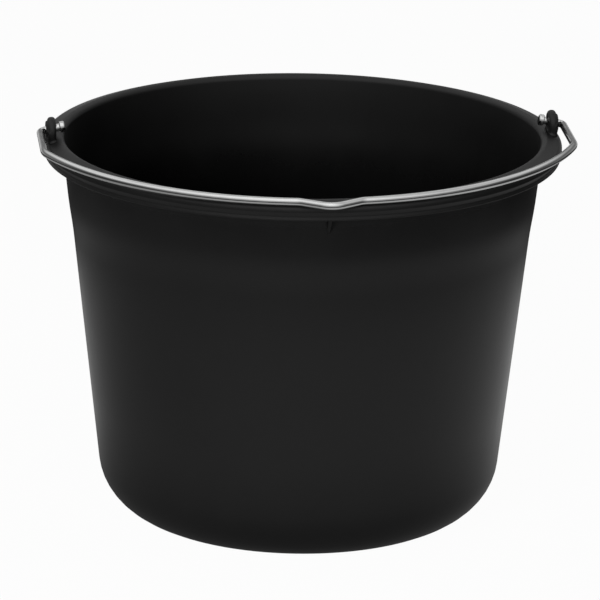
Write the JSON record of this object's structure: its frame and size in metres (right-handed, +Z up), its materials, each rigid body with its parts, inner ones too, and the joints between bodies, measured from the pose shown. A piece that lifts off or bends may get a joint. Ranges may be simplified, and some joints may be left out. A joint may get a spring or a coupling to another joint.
{
  "type": "bucket with wire bail",
  "caption": "Black moulded builder's bucket with a flanged rim, domed ears and a bright bent wire bail that swings over it.",
  "frame": {"origin": "centre of the flat bottom, on the bucket's axis", "axes": "+Z up along the bucket's axis; the ears and the pivot line are along X; the bail lies forward, towards -Y"},
  "size_m": [0.3832, 0.3844, 0.2958],
  "materials": {
    "black_plastic": "satin, moulded",
    "galvanised_wire": "bright galvanised, drawn"
  },
  "bodies": {
    "bucket": {"bucket_body": "black_plastic"},
    "bail": {"bail": "galvanised_wire"}
  },
  "joints": [
    {"name": "bail_swing", "type": "hinge", "parent": "bucket", "child": "bail", "pos_m": [0, 0, 0.2871], "axis": [-1, 0, 0], "range_deg": [0, 183.2]}
  ]
}
